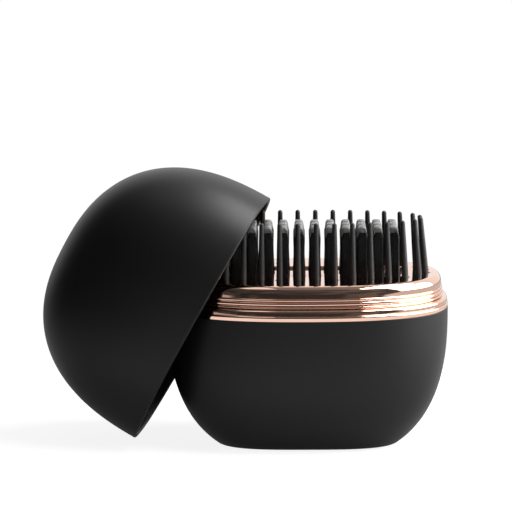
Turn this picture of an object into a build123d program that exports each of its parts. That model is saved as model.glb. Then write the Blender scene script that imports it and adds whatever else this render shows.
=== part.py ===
from build123d import *
import math
import os

# Palm-size hair straightening brush with a lift-off cap. All sizes are in millimetres.
# The origin is the middle of the flat foot. +X runs along the long side, +Y goes to the back,
# where the power button is, and +Z is up. The cap has been lifted off and leans on the left end.

os.makedirs("parts", exist_ok=True)

# Outline of the egg, seen from above and from the side
rim_half_width = 47.8
rim_half_depth = 33.4
rim_height = 46.1
plan_power = 2.45
base_plan_power = 3.3
cup_full_depth = 53.0
cup_power = 2.64
oval_points = 16

# Small rounds, such as pins and screws, are drawn with flat sides to keep the part light
small_sides = 12

# Lower shell and foot
wall = 2.0
shell_foot_height = 0.4
floor_height = 3.4
foot_edge_radius = 2.3
pad_half_width = 25.0
pad_half_depth = 15.5
pad_thickness = 1.2
pad_gap = 0.15
cup_depths = (0.0, 7.0, 14.0, 21.0, 28.0, 34.0, 39.0, 43.0, rim_height - shell_foot_height)
cavity_depths = (0.0, 6.0, 15.0, 24.0, 31.0, 38.0, rim_height - floor_height)

# Collar outside, from the rim up: height above the rim and inset from the rim's outline
flange = ((0.0, 0.0), (1.5, 0.0), (1.75, 0.25))
waist_band = ((1.85, 0.65), (1.95, 0.3), (3.0, 0.3), (3.45, 0.55), (3.72, 1.1))
lower_bead = ((3.85, 2.35), (4.1, 1.8), (4.6, 1.8))
middle_bead = ((4.87, 2.4), (5.2, 1.85), (5.85, 1.85))
upper_bead = ((6.3, 2.4), (6.65, 1.95), (7.15, 1.95))
drum_height = 7.35
drum_inset = 2.3
shoulder_radius = 2.6
deck_height = 57.5
deck_thickness = 1.6
spigot_height = 41.5
spigot_inset = 2.2
cavity_inset = 4.0
seal_height = 43.0
seal_thickness = 1.2
seal_inset = 2.2
seal_groove_inset = 3.0
seal_slack = 0.05

# Comb plate with its heated teeth
plate_width = 64.6
plate_depth = 21.2
plate_corner = 2.2
plate_gap = 0.3
plate_height = 57.2
plate_rim = 1.0
plate_bottom = 54.0
tooth_columns = 12
tooth_rows = 3
tooth_pitch = 5.29
tooth_row_pitch = 7.0
tooth_length = 5.6
tooth_foot_half = 2.2
tooth_waist_half = 1.88
tooth_waist_height = 64.5
tooth_shoulder_half = 1.98
tooth_shoulder_height = 70.5
tooth_core_half = 1.5
tooth_core_top_half = 1.1
tooth_core_height = 72.2
tooth_edge = 0.4
tip_height = 74.2
tip_half = 1.45
tip_neck_half = 1.7
tip_neck_height = 71.4
tip_corner = 0.5

# Guard pins, which lean in towards the teeth all round
pin_count = 32
pin_ring_half_width = 40.4
pin_ring_half_depth = 18.0
pin_lean = 1.86
pin_foot_radius = 1.15
pin_tip_radius = 0.8
pin_tip_height = 76.5
pin_tip_edge = 0.4
pin_root = 1.0
pin_hole_radius = 1.6
carrier_thickness = 1.9
carrier_inside = 1.0
carrier_outside = 3.0

# Heater stack under the comb plate
heater_frame_bottom = 52.0
heater_frame_top = 54.0
heater_frame_inset = 4.4
heater_window = (53.0, 16.0)
heater_size = (25.0, 14.0, 2.0)
heater_spacing = 26.0
clamp_size = (56.0, 12.0, 0.8)
clamp_slot = (12.0, 3.0)
fuse_radius = 1.6
fuse_length = 9.0
thermistor_size = (4.0, 3.0, 1.8)
thermistor_x = 24.0
collar_post_x = 29.5
collar_post_y = 21.5
collar_post_radius = 2.6
collar_post_hole = 2.4
heater_screw_bite = 2.0

# Battery, inner frame and shield
cell_radius = 9.2
cell_length = 65.0
cell_spacing = 18.6
cell_height = 17.2
cell_gap = 0.05
terminal_length = 1.2
terminal_radius = 3.0
holder_top = 15.0
holder_foot = (60.0, 26.0, 8.0)
holder_mouth = (78.0, 39.0, 12.0)
frame_bottom = 26.9
frame_top = 28.9
frame_plate = (73.0, 38.0, 8.0)
frame_leg_x = 34.6
frame_leg_size = (3.6, 10.0)
frame_window = (16.0, 6.0)
frame_window_pitch = (24.0, 16.0)
frame_screw_bite = 3.0
frame_post_radius = 2.6
frame_post_x = 29.0
frame_post_y = 13.0
frame_post_hole = 6.0
shield_bottom = 44.4
shield_thickness = 0.6
shield_plate = (70.0, 40.0, 10.0)
shield_screw_bite = 5.5

# Rear controls
board_face = 23.6
board_thickness = 1.6
board_size = (26.0, 31.0)
board_middle_height = 28.5
board_tab_x = 9.0
board_tab_width = 5.0
board_tab_reach = 4.0
chip_height = 1.2
chips = ((-6.0, 39.5, 6.0, 6.0), (6.0, 38.0, 7.0, 5.0), (0.0, 31.5, 5.0, 4.0))
button_height = 31.0
button_radius = 5.0
button_gap = 0.3
button_travel = 1.0
button_front = 33.9
button_edge = 0.6
button_flange_radius = 6.4
button_flange_face = 29.8
button_flange_thickness = 1.0
light_height = 40.3
light_spacing = 5.0
light_radius = 0.9
light_gap = 0.05
led_size = (2.0, 1.25, 1.0)
guide_start = 1.3
guide_bar = (14.0, 3.0, 2.2)
socket_height = 17.0
socket_size = (8.94, 3.26)
socket_wall = 0.35
socket_gap = 0.35
socket_back = 1.0
socket_mouth = 29.9
tongue_size = (6.6, 0.7)
tongue_setback = 0.8
switch_size = 6.0
switch_face = 27.1
switch_well_gap = 0.3
switch_well_spare = 0.5
plunger_radius = 1.75
plunger_face = 28.1
plunger_bite = 0.3

# Cap and the place where it leans
cap_half_width = 47.0
cap_half_depth = 32.8
cap_depth = 53.8
cap_power = 2.46
cap_wall = 1.5
cap_levels = (0.0, 0.15, 0.3, 0.46, 0.61, 0.74, 0.84, 0.91, 0.955, 0.982, 0.995, 0.9995)
hidden_levels = (0.0, 0.17, 0.4, 0.6, 0.77, 0.89, 0.96, 0.99, 0.9995)
lining_start = 9.0
lining_wall = 0.8
lining_gap = 0.2
cap_middle_x = -35.5
cap_middle_y = 0.8
cap_floor_gap = 0.1
cap_yaw = -8.3
cap_tilt = 61.0
cap_roll = 1.0

# Fasteners
screw_radius = 1.0
screw_head_radius = 2.0
screw_head_height = 1.1
screw_hole_gap = 0.15
screw_tip_gap = 0.4
case_screw_x = 15.5
case_screw_y = 8.0
case_screw_tip = 7.4


def oval_edge(half_width, half_depth, power):
    """Closed superellipse through evenly turned points."""
    points = []
    for index in range(oval_points):
        turn = 2 * math.pi * index / oval_points
        across = math.cos(turn)
        away = math.sin(turn)
        points.append((
            math.copysign(half_width * abs(across) ** (2 / power), across),
            math.copysign(half_depth * abs(away) ** (2 / power), away),
        ))
    return Spline(*points, periodic=True)


def oval(plane, half_width, half_depth, power=plan_power):
    """Filled superellipse on a plane."""
    with BuildSketch(plane) as outline:
        with BuildLine():
            oval_edge(half_width, half_depth, power)
        make_face()
    return outline.sketch


def slab(bottom, thickness, half_width, half_depth, power=plan_power):
    """Flat oval disc."""
    plan = oval(Plane.XY.offset(bottom), half_width, half_depth, power)
    return extrude(plan, amount=thickness, mode=Mode.PRIVATE)


def rim_oval(height, inset):
    """The rim's outline at a height and an inset."""
    return oval(Plane.XY.offset(height), rim_half_width - inset, rim_half_depth - inset)


def rim_slab(bottom, thickness, inset):
    """Flat disc that follows the rim at an inset."""
    return extrude(rim_oval(bottom, inset), amount=thickness, mode=Mode.PRIVATE)


def cup(inset, depths):
    """Sections of the egg end that hangs from the rim, drawn in by an inset."""
    sections = []
    for depth in depths:
        share = (1 - (depth / (cup_full_depth - inset)) ** cup_power) ** (1 / cup_power)
        growth = (depth / rim_height) ** 2
        sections.append(oval(
            Plane.XY.offset(rim_height - depth),
            (rim_half_width - inset) * share,
            (rim_half_depth - inset) * share,
            plan_power + (base_plan_power - plan_power) * growth,
        ))
    return sections


def cut_corner_plate(height, width, depth, corner):
    """Rectangle with its corners cut off, at a height."""
    with BuildSketch(Plane.XY.offset(height)) as plate:
        Rectangle(width, depth)
        chamfer(plate.vertices(), corner)
    return plate.sketch


def rear_plane(distance):
    """Plane that looks out of the back: its X runs to the left end and its Y runs up."""
    return Plane(origin=(0, distance, 0), x_dir=(-1, 0, 0), z_dir=(0, 1, 0))


def screw(tip, head_seat, at):
    """Pan head screw that points down or up from its seat."""
    up = head_seat > tip
    with BuildPart() as fastener:
        with BuildSketch(Plane.XY.offset(min(tip, head_seat))):
            RegularPolygon(screw_radius, small_sides)
        extrude(amount=abs(head_seat - tip))
        with BuildSketch(Plane.XY.offset(head_seat)):
            RegularPolygon(screw_head_radius, small_sides)
        extrude(amount=screw_head_height if up else -screw_head_height)
    return Pos(at[0], at[1], 0) * fastener.part


def four(x, y):
    """The four corners at plus and minus x and y."""
    return [(x, y), (-x, y), (-x, -y), (x, -y)]


def save(piece, name):
    """Labels a finished piece and writes its file."""
    piece.part.label = name
    export_step(piece.part, f"parts/{name}.step")


# Lower shell: the black egg end, hollow, with openings for the rear controls
case_screw_places = four(case_screw_x, case_screw_y)
with BuildPart() as lower_shell:
    loft(sections=cup(0.0, cup_depths))
    fillet(lower_shell.edges().group_by(Axis.Z)[0], foot_edge_radius)
    loft(sections=cup(wall, cavity_depths), ruled=True, mode=Mode.SUBTRACT)
    extrude(oval(Plane.XY, pad_half_width + pad_gap, pad_half_depth + pad_gap),
            amount=pad_thickness, mode=Mode.SUBTRACT)
    with BuildSketch(Plane.XY):
        with Locations(*case_screw_places):
            RegularPolygon(screw_radius + screw_hole_gap, small_sides)
    extrude(amount=floor_height, mode=Mode.SUBTRACT)
    with BuildSketch(Plane.XY):
        with Locations(*case_screw_places):
            RegularPolygon(screw_head_radius + screw_hole_gap, small_sides)
    extrude(amount=pad_thickness + screw_head_height + screw_hole_gap, mode=Mode.SUBTRACT)
    with BuildSketch(rear_plane(board_face)):
        with Locations((0, button_height)):
            Circle(button_radius + button_gap)
        with Locations((0, light_height)):
            with GridLocations(light_spacing, 1, 3, 1):
                Circle(light_radius + light_gap)
        with Locations((0, socket_height)):
            SlotOverall(socket_size[0] + 2 * socket_gap, socket_size[1] + 2 * socket_gap)
    extrude(amount=rim_half_depth, mode=Mode.SUBTRACT)
save(lower_shell, "lower_shell")

# Foot pad: a thin rubber oval that the brush stands on
with BuildPart() as foot_pad:
    extrude(oval(Plane.XY, pad_half_width, pad_half_depth), amount=pad_thickness)
    chamfer(foot_pad.edges().group_by(Axis.Z)[0], shell_foot_height / 2)
save(foot_pad, "foot_pad")

head_seat = pad_thickness + screw_head_height + screw_hole_gap
with BuildPart() as case_screws:
    for place in case_screw_places:
        add(screw(case_screw_tip, head_seat, place))
save(case_screws, "case_screws")

# Battery holder: a cradle on the floor of the shell, with a trough for each cell
with BuildPart() as battery_cells:
    with BuildSketch(Plane.YZ.offset(-cell_length / 2)):
        with Locations((0, cell_height)):
            with GridLocations(cell_spacing, 1, 2, 1):
                Circle(cell_radius)
    extrude(amount=cell_length - terminal_length)
    with BuildSketch(Plane.YZ.offset(cell_length / 2 - terminal_length)):
        with Locations((0, cell_height)):
            with GridLocations(cell_spacing, 1, 2, 1):
                Circle(terminal_radius)
    extrude(amount=terminal_length)
save(battery_cells, "battery_cells")

with BuildPart() as battery_holder:
    loft(sections=[cut_corner_plate(floor_height, *holder_foot), cut_corner_plate(holder_top, *holder_mouth)])
    with BuildSketch(Plane.YZ.offset(-cell_length / 2 - cell_gap)):
        with Locations((0, cell_height)):
            with GridLocations(cell_spacing, 1, 2, 1):
                Circle(cell_radius + cell_gap)
    extrude(amount=cell_length + 2 * cell_gap, mode=Mode.SUBTRACT)
    with BuildSketch(Plane.XY.offset(floor_height)):
        with Locations(*case_screw_places):
            RegularPolygon(screw_radius + screw_hole_gap, small_sides)
    extrude(amount=case_screw_tip - floor_height, mode=Mode.SUBTRACT)
    with BuildSketch(Plane.XY.offset(holder_top)):
        with Locations((frame_leg_x, 0), (-frame_leg_x, 0)):
            RegularPolygon(screw_radius + screw_hole_gap, small_sides)
    extrude(amount=-frame_screw_bite - screw_tip_gap, mode=Mode.SUBTRACT)
save(battery_holder, "battery_holder")

# Inner frame: a plate over the cells, with legs down to the holder, posts up and tabs to the board
board_tab_y = board_face - board_thickness - board_tab_reach / 2
frame_post_places = four(frame_post_x, frame_post_y)
leg_places = [(frame_leg_x, 0), (-frame_leg_x, 0)]
with BuildPart() as inner_frame:
    extrude(cut_corner_plate(frame_bottom, *frame_plate), amount=frame_top - frame_bottom)
    with BuildSketch(Plane.XY.offset(frame_bottom)):
        with Locations((board_tab_x, board_tab_y), (-board_tab_x, board_tab_y)):
            Rectangle(board_tab_width, board_tab_reach)
    extrude(amount=frame_top - frame_bottom)
    with BuildSketch(Plane.XY.offset(holder_top)):
        with Locations(*leg_places):
            Rectangle(frame_leg_size[0], frame_leg_size[1])
    extrude(amount=frame_bottom - holder_top)
    with BuildSketch(Plane.XY.offset(frame_top)):
        with Locations(*frame_post_places):
            RegularPolygon(frame_post_radius, small_sides)
    extrude(amount=shield_bottom - frame_top)
    with BuildSketch(Plane.XY.offset(frame_bottom)):
        with GridLocations(frame_window_pitch[0], frame_window_pitch[1], 2, 2):
            Rectangle(frame_window[0], frame_window[1])
    extrude(amount=frame_top - frame_bottom, mode=Mode.SUBTRACT)
    with BuildSketch(Plane.XY.offset(frame_top)):
        with Locations(*leg_places):
            RegularPolygon(screw_radius + screw_hole_gap, small_sides)
    extrude(amount=holder_top - frame_top, mode=Mode.SUBTRACT)
    with BuildSketch(Plane.XY.offset(shield_bottom)):
        with Locations(*frame_post_places):
            RegularPolygon(screw_radius + screw_hole_gap, small_sides)
    extrude(amount=-frame_post_hole, mode=Mode.SUBTRACT)
save(inner_frame, "inner_frame")

with BuildPart() as frame_screws:
    for place in leg_places:
        add(screw(holder_top - frame_screw_bite, frame_top, place))
save(frame_screws, "frame_screws")

# Heat shield: a sheet that keeps the heater's warmth off the battery
with BuildPart() as heat_shield:
    extrude(cut_corner_plate(shield_bottom, *shield_plate), amount=shield_thickness)
    with BuildSketch(Plane.XY.offset(shield_bottom)):
        with Locations(*frame_post_places):
            RegularPolygon(screw_radius + screw_hole_gap, small_sides)
    extrude(amount=shield_thickness, mode=Mode.SUBTRACT)
save(heat_shield, "heat_shield")

with BuildPart() as shield_screws:
    for place in frame_post_places:
        add(screw(shield_bottom - shield_screw_bite, shield_bottom + shield_thickness, place))
save(shield_screws, "shield_screws")

# Control board, upright behind the rear wall, with what it carries
with BuildPart() as control_board:
    with BuildSketch(rear_plane(board_face - board_thickness)):
        with Locations((0, board_middle_height)):
            Rectangle(board_size[0], board_size[1])
    extrude(amount=board_thickness)
save(control_board, "control_board")

with BuildPart() as board_chips:
    with BuildSketch(rear_plane(board_face - board_thickness)):
        for across, up, width, height in chips:
            with Locations((across, up)):
                Rectangle(width, height)
    extrude(amount=-chip_height)
save(board_chips, "board_chips")

with BuildPart() as usb_socket:
    with BuildSketch(rear_plane(board_face)):
        with Locations((0, socket_height)):
            SlotOverall(socket_size[0], socket_size[1])
    extrude(amount=socket_mouth - board_face)
    with BuildSketch(rear_plane(board_face + socket_back)):
        with Locations((0, socket_height)):
            SlotOverall(socket_size[0] - 2 * socket_wall, socket_size[1] - 2 * socket_wall)
    extrude(amount=socket_mouth - board_face, mode=Mode.SUBTRACT)
save(usb_socket, "usb_socket")

with BuildPart() as usb_tongue:
    with BuildSketch(rear_plane(board_face + socket_back)):
        with Locations((0, socket_height)):
            Rectangle(tongue_size[0], tongue_size[1])
    extrude(amount=socket_mouth - board_face - socket_back - tongue_setback)
save(usb_tongue, "usb_tongue")

with BuildPart() as tact_switch:
    with BuildSketch(rear_plane(board_face)):
        with Locations((0, button_height)):
            Rectangle(switch_size, switch_size)
    extrude(amount=switch_face - board_face)
    with BuildSketch(rear_plane(switch_face)):
        with Locations((0, button_height)):
            Circle(plunger_radius + switch_well_gap)
    extrude(amount=-button_travel - switch_well_spare, mode=Mode.SUBTRACT)
save(tact_switch, "tact_switch")

with BuildPart() as status_leds:
    with BuildSketch(rear_plane(board_face)):
        with Locations((0, light_height)):
            with GridLocations(light_spacing, 1, 3, 1):
                Rectangle(led_size[0], led_size[1])
    extrude(amount=led_size[2])
save(status_leds, "status_leds")

# Light guide: a clear bar with three rods that end flush with the outside of the shell
light_depth = rim_height - light_height
light_face = rim_half_depth * (1 - (light_depth / cup_full_depth) ** cup_power) ** (1 / cup_power)
rod_start = board_face + guide_start + guide_bar[2]
with BuildPart() as light_guide:
    with BuildSketch(rear_plane(board_face + guide_start)):
        with Locations((0, light_height)):
            Rectangle(guide_bar[0], guide_bar[1])
    extrude(amount=guide_bar[2])
    with BuildSketch(rear_plane(rod_start)):
        with Locations((0, light_height)):
            with GridLocations(light_spacing, 1, 3, 1):
                Circle(light_radius)
    extrude(amount=light_face - rod_start)
save(light_guide, "light_guide")

# Power button: a domed round cap with a flange that stops it inside the wall
with BuildPart() as power_button:
    with BuildSketch(rear_plane(button_flange_face - button_flange_thickness)):
        with Locations((0, button_height)):
            Circle(button_flange_radius)
    extrude(amount=button_flange_thickness)
    with BuildSketch(rear_plane(button_flange_face)):
        with Locations((0, button_height)):
            Circle(button_radius)
    extrude(amount=button_front - button_flange_face)
    chamfer(power_button.edges().group_by(Axis.Y)[-1], button_edge)
    with BuildSketch(rear_plane(plunger_face)):
        with Locations((0, button_height)):
            Circle(plunger_radius)
    extrude(amount=button_flange_face - button_flange_thickness - plunger_face)
save(power_button, "power_button")

with BuildPart() as switch_plunger:
    with BuildSketch(rear_plane(switch_face - plunger_bite)):
        with Locations((0, button_height)):
            Circle(plunger_radius)
    extrude(amount=plunger_face - switch_face + plunger_bite)
save(switch_plunger, "switch_plunger")


# Where the guard pins stand: evenly spaced round an oval, each with the way it leans
def pin_places():
    """Foot and inward direction of each guard pin."""
    with BuildLine() as ring:
        oval_edge(pin_ring_half_width, pin_ring_half_depth, plan_power)
    edge = ring.edges()[0]
    places = []
    for index in range(pin_count):
        along = edge.length * (index + 0.5) / pin_count
        foot = edge.position_at(along, position_mode=PositionMode.LENGTH)
        run = edge.tangent_at(along, position_mode=PositionMode.LENGTH)
        places.append((foot, Vector(-run.Y, run.X, 0)))
    return places


pins = pin_places()

# Collar: plated rings over a drum with a rounded shoulder, hollow, with the deck across its top
collar_post_places = four(collar_post_x, collar_post_y)
deck_underside = deck_height - deck_thickness
shoulder = [(drum_height, drum_inset)]
for step in range(5):
    turn = math.pi / 8 * step
    shoulder.append((
        deck_height - rim_height - shoulder_radius * (1 - math.sin(turn)),
        drum_inset + shoulder_radius * (1 - math.cos(turn)),
    ))
collar_profile = [*flange, *waist_band, *lower_bead, *middle_bead, *upper_bead, *shoulder]
with BuildPart() as collar:
    loft(sections=[rim_oval(rim_height + height, inset) for height, inset in collar_profile], ruled=True)
    add(rim_slab(spigot_height, rim_height - spigot_height, spigot_inset))
    add(rim_slab(spigot_height, deck_underside - spigot_height, cavity_inset), mode=Mode.SUBTRACT)
    with BuildSketch(Plane.XY.offset(deck_underside)):
        with Locations(*collar_post_places):
            RegularPolygon(collar_post_radius, small_sides)
    extrude(amount=heater_frame_top - deck_underside)
    with BuildSketch(Plane.XY.offset(heater_frame_top)):
        with Locations(*collar_post_places):
            RegularPolygon(screw_radius + screw_hole_gap, small_sides)
    extrude(amount=collar_post_hole, mode=Mode.SUBTRACT)
    with BuildSketch(Plane.XY.offset(deck_underside)):
        RectangleRounded(plate_width + 2 * plate_gap, plate_depth + 2 * plate_gap, plate_corner + plate_gap)
        with Locations(*[foot for foot, inward in pins]):
            RegularPolygon(pin_hole_radius, small_sides)
    extrude(amount=deck_thickness, mode=Mode.SUBTRACT)
    seal_groove = rim_slab(seal_height, seal_thickness, 0.0)
    add(seal_groove - rim_slab(seal_height, seal_thickness, seal_groove_inset), mode=Mode.SUBTRACT)
save(collar, "collar")

with BuildPart() as seal_ring:
    add(rim_slab(seal_height, seal_thickness - 2 * seal_slack, seal_inset))
    add(rim_slab(seal_height, seal_thickness, seal_groove_inset - seal_slack), mode=Mode.SUBTRACT)
save(seal_ring, "seal_ring")

# Comb plate: the heated plate in the deck's opening
with BuildPart() as comb_plate:
    with BuildSketch(Plane.XY.offset(plate_bottom)):
        RectangleRounded(plate_width + 2 * plate_rim, plate_depth + 2 * plate_rim, plate_corner + plate_rim)
    extrude(amount=deck_underside - plate_bottom)
    with BuildSketch(Plane.XY.offset(deck_underside)):
        RectangleRounded(plate_width, plate_depth, plate_corner)
    extrude(amount=plate_height - deck_underside)
save(comb_plate, "comb_plate")

# One heated tooth: a waisted blade with soft upright edges and a narrow core on top
with BuildPart() as tooth:
    with BuildSketch(Plane.XZ.offset(-tooth_length / 2)):
        with BuildLine():
            Polyline(
                (0, plate_height),
                (tooth_foot_half, plate_height),
                (tooth_waist_half, tooth_waist_height),
                (tooth_shoulder_half, tooth_shoulder_height),
                (0, tooth_shoulder_height),
            )
            mirror(about=Plane.YZ)
        make_face()
    extrude(amount=tooth_length)
    upright = [edge for edge in tooth.edges() if abs(edge.tangent_at(0.5).Z) > 0.9]
    chamfer(upright, tooth_edge)
    with BuildSketch(Plane.XY.offset(tooth_shoulder_height)):
        Rectangle(2 * tooth_core_half, tooth_length - 2 * tooth_edge)
    with BuildSketch(Plane.XY.offset(tooth_core_height)):
        Rectangle(2 * tooth_core_top_half, tooth_length - 2 * tooth_edge)
    loft()

with BuildPart() as heating_teeth:
    with GridLocations(tooth_pitch, tooth_row_pitch, tooth_columns, tooth_rows):
        add(tooth.part)
save(heating_teeth, "heating_teeth")

# One tooth tip: a clip of clear grey silicone over the core, open at both ends
tip_length = tooth_length - 2 * tooth_edge
with BuildPart() as tip:
    with BuildSketch(Plane.XZ.offset(-tip_length / 2)):
        with BuildLine():
            Polyline(
                (0, tip_height),
                (tip_half - tip_corner, tip_height),
                (tip_half, tip_height - tip_corner),
                (tip_neck_half, tip_neck_height),
                (tooth_shoulder_half, tooth_shoulder_height),
                (tooth_core_half, tooth_shoulder_height),
                (tooth_core_top_half, tooth_core_height),
                (0, tooth_core_height),
            )
            mirror(about=Plane.YZ)
        make_face()
    extrude(amount=tip_length)

with BuildPart() as tooth_tips:
    with GridLocations(tooth_pitch, tooth_row_pitch, tooth_columns, tooth_rows):
        add(tip.part)
save(tooth_tips, "tooth_tips")

# Guard pins: tapered pins with blunt ends that lean inwards and stand on a ring under the deck
carrier_top = deck_underside
pin_height = pin_tip_height - carrier_top
with BuildPart() as pin:
    with BuildSketch(Plane.XY.offset(-pin_root)):
        RegularPolygon(pin_foot_radius, small_sides)
    extrude(amount=pin_height + pin_root, taper=math.degrees((pin_foot_radius - pin_tip_radius) / pin_height))
    chamfer(pin.edges().group_by(Axis.Z)[-1], pin_tip_edge)

leaning_pins = []
for foot, inward in pins:
    lean = Vector(0, 0, pin_height) + inward * pin_lean
    leaning_pins.append(Plane(origin=(foot.X, foot.Y, carrier_top), z_dir=lean).location * pin.part)

with BuildPart() as guard_pins:
    add(leaning_pins)
    with BuildSketch(Plane.XY.offset(carrier_top)):
        Rectangle(2 * rim_half_width, 2 * rim_half_depth)
    extrude(amount=-2 * pin_root, mode=Mode.SUBTRACT)
save(guard_pins, "guard_pins")

with BuildPart() as pin_carrier:
    add(slab(carrier_top - carrier_thickness, carrier_thickness,
             pin_ring_half_width + carrier_outside, pin_ring_half_depth + carrier_outside))
    add(slab(carrier_top - carrier_thickness, carrier_thickness,
             pin_ring_half_width - carrier_inside, pin_ring_half_depth - carrier_inside),
        mode=Mode.SUBTRACT)
save(pin_carrier, "pin_carrier")

# Heater frame: the insulating plate that presses the heaters up against the comb plate
with BuildPart() as heater_frame:
    add(rim_slab(heater_frame_bottom, heater_frame_top - heater_frame_bottom, heater_frame_inset))
    with BuildSketch(Plane.XY.offset(heater_frame_bottom)):
        Rectangle(heater_window[0], heater_window[1])
        with Locations(*collar_post_places):
            RegularPolygon(screw_radius + screw_hole_gap, small_sides)
    extrude(amount=heater_frame_top - heater_frame_bottom, mode=Mode.SUBTRACT)
save(heater_frame, "heater_frame")

with BuildPart() as heater_screws:
    for place in collar_post_places:
        add(screw(heater_frame_top + heater_screw_bite, heater_frame_bottom, place))
save(heater_screws, "heater_screws")

heater_bottom = plate_bottom - heater_size[2]
clamp_bottom = heater_bottom - clamp_size[2]
with BuildPart() as ptc_heaters:
    with BuildSketch(Plane.XY.offset(heater_bottom)):
        with GridLocations(heater_spacing, 1, 2, 1):
            Rectangle(heater_size[0], heater_size[1])
    extrude(amount=heater_size[2])
save(ptc_heaters, "ptc_heaters")

with BuildPart() as heater_clamp:
    with BuildSketch(Plane.XY.offset(clamp_bottom)):
        Rectangle(clamp_size[0], clamp_size[1])
        with GridLocations(heater_spacing, 1, 2, 1):
            Rectangle(clamp_slot[0], clamp_slot[1], mode=Mode.SUBTRACT)
    extrude(amount=clamp_size[2])
save(heater_clamp, "heater_clamp")

with BuildPart() as thermal_fuse:
    with BuildSketch(Plane.YZ.offset(-fuse_length / 2)):
        with Locations((0, clamp_bottom - fuse_radius)):
            Circle(fuse_radius)
    extrude(amount=fuse_length)
save(thermal_fuse, "thermal_fuse")

with BuildPart() as thermistor:
    with BuildSketch(Plane.XY.offset(clamp_bottom)):
        with Locations((thermistor_x, 0)):
            Rectangle(thermistor_size[0], thermistor_size[1])
    extrude(amount=-thermistor_size[2])
save(thermistor, "thermistor")

# Cap: its rim plane is turned about the upright, tipped up and rolled a little about its long axis
yaw = math.radians(cap_yaw)
tilt = math.radians(cap_tilt)
roll = math.radians(cap_roll)
rim_run = Vector(math.cos(tilt) * math.cos(yaw), math.cos(tilt) * math.sin(yaw), math.sin(tilt))
rim_side = Vector(-math.sin(yaw), math.cos(yaw), 0)
dome_way = rim_run.cross(rim_side) * math.cos(roll) - rim_side * math.sin(roll)
rim_cross = dome_way.cross(rim_run)
reach_power = plan_power / (plan_power - 1)
rim_reach = ((cap_half_width * abs(rim_run.Z)) ** reach_power
             + (cap_half_depth * abs(rim_cross.Z)) ** reach_power) ** (1 / reach_power)
cap_middle = (cap_middle_x, cap_middle_y, rim_reach + cap_floor_gap)
cap_plane = Plane(origin=cap_middle, x_dir=rim_run, z_dir=dome_way)


def dome(inset, start, levels):
    """Sections of the egg's other end, drawn in by an inset, from a depth to its apex."""
    depth = cap_depth - inset
    sections = []
    for level in levels:
        if level * depth < start and level:
            continue
        height = max(level * depth, start)
        share = (1 - (height / depth) ** cap_power) ** (1 / cap_power)
        sections.append(oval(
            cap_plane.offset(height),
            (cap_half_width - inset) * share,
            (cap_half_depth - inset) * share,
        ))
    return sections


with BuildPart() as cap_shell:
    loft(sections=dome(0.0, 0.0, cap_levels))
    loft(sections=dome(cap_wall, 0.0, hidden_levels), ruled=True, mode=Mode.SUBTRACT)
save(cap_shell, "cap_shell")

with BuildPart() as cap_lining:
    loft(sections=dome(cap_wall + lining_gap, lining_start, hidden_levels), ruled=True)
    loft(sections=dome(cap_wall + lining_gap + lining_wall, lining_start, cap_levels), mode=Mode.SUBTRACT)
save(cap_lining, "cap_lining")
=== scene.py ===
"""Looks of the palm-size hair straightening brush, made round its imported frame."""

import logging
import math
from dataclasses import dataclass, replace
from enum import Enum
from typing import Optional, Sequence, Union

import bmesh
import bpy
from mathutils import Matrix, Vector


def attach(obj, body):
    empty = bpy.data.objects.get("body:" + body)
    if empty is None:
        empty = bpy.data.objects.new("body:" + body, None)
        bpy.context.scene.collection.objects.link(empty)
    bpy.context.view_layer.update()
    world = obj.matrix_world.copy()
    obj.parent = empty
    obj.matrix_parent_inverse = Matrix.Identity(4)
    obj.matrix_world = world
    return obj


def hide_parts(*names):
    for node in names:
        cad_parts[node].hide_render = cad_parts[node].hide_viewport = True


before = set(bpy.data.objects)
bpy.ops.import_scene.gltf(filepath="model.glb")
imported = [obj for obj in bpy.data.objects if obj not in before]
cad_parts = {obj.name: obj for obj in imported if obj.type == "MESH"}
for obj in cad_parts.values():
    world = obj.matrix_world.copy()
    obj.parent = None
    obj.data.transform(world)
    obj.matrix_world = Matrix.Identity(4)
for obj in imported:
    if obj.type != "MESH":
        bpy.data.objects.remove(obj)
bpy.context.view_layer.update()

log = logging.getLogger("brush")

MM = 0.001
SHARP_ANGLE = 34
WHITE = (1.0, 1.0, 1.0)
REAR_CUT = (24.0, 40.0)

Pair = tuple[float, float]
Triple = tuple[float, float, float]
Colour = tuple[float, float, float]
Levels = tuple[tuple[float, ...], ...]


class Body(Enum):
    """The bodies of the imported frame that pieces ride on."""

    BASE = "base"
    BUTTON = "button"
    CAP = "cap"


class Ends(Enum):
    """How a skin through rows of points is closed."""

    POLES = "a fan to a middle point at each end"
    FLAT = "one face at each end"
    LOOP = "the last row joined to the first"


# Meshes


@dataclass(frozen=True)
class Ring:
    """One closed outline of a lofted piece, a superellipse at a height.

    Attributes:
        height: height along the piece's own axis, in millimetres
        half_width: half size along the first cross axis
        half_depth: half size along the second cross axis
        power: superellipse power, 2 for an ellipse and more for squarer outlines
    """

    height: float
    half_width: float
    half_depth: float
    power: float = 2.0

    def points(self, count: int) -> list[Vector]:
        """Points round the outline.

        Args:
            count: number of points, which is even

        Returns:
            The points in millimetres.
        """
        points = []
        shape = 2 / self.power
        for step in range(count):
            turn = 2 * math.pi * step / count
            across, away = math.cos(turn), math.sin(turn)
            points.append(Vector((
                math.copysign(self.half_width * abs(across) ** shape, across),
                math.copysign(self.half_depth * abs(away) ** shape, away),
                self.height,
            )))
        return points


@dataclass(frozen=True)
class Oval:
    """Superellipse that rings are made of, in millimetres."""

    half_width: float
    half_depth: float
    power: float

    def ring(self, height: float, inset: float = 0.0, share: float = 1.0) -> Ring:
        """Ring at a height, drawn in by an inset and then brought to a share of its size."""
        halves = [(half - inset) * share for half in (self.half_width, self.half_depth)]
        return Ring(height, *halves, self.power)


def disc(height: float, radius: float) -> Ring:
    """Round outline."""
    return Ring(height, radius, radius)


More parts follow.
